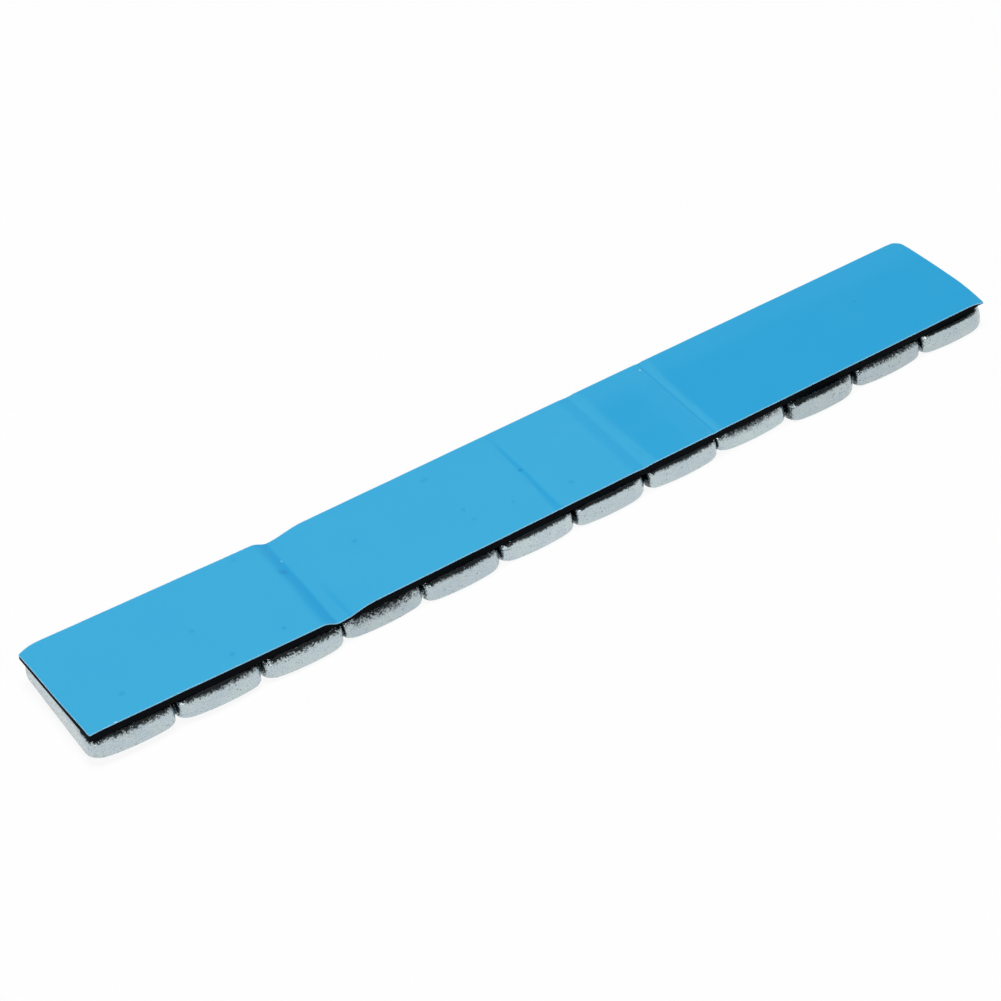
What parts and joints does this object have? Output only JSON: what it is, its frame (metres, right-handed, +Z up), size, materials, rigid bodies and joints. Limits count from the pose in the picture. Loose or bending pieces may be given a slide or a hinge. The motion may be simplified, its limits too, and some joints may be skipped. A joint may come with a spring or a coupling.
{
  "type": "wheel balance weight",
  "caption": "Self-adhesive strip of plated steel segments on foam tape under a peel-off film, stuck inside a wheel rim to balance the wheel.",
  "frame": {"origin": "middle of the strip's length and width, at the table that its lower steel faces lie on", "axes": "+X along the strip towards the end that lies flat, +Y across it, +Z up out of the release liner"},
  "size_m": [0.1376, 0.0204, 0.0052],
  "materials": {
    "zinc_plated_steel": "satin, tumbled and zinc plated",
    "black_foam": "matte",
    "blue_liner": "satin film"
  },
  "bodies": {
    "root": {"segment_01": "zinc_plated_steel", "segment_02": "zinc_plated_steel", "segment_03": "zinc_plated_steel", "segment_04": "zinc_plated_steel", "segment_05": "zinc_plated_steel", "segment_06": "zinc_plated_steel", "segment_07": "zinc_plated_steel", "segment_08": "zinc_plated_steel", "segment_09": "zinc_plated_steel", "segment_10": "zinc_plated_steel", "segment_11": "zinc_plated_steel", "segment_12": "zinc_plated_steel", "foam_tape": "black_foam", "release_liner": "blue_liner"}
  },
  "joints": []
}
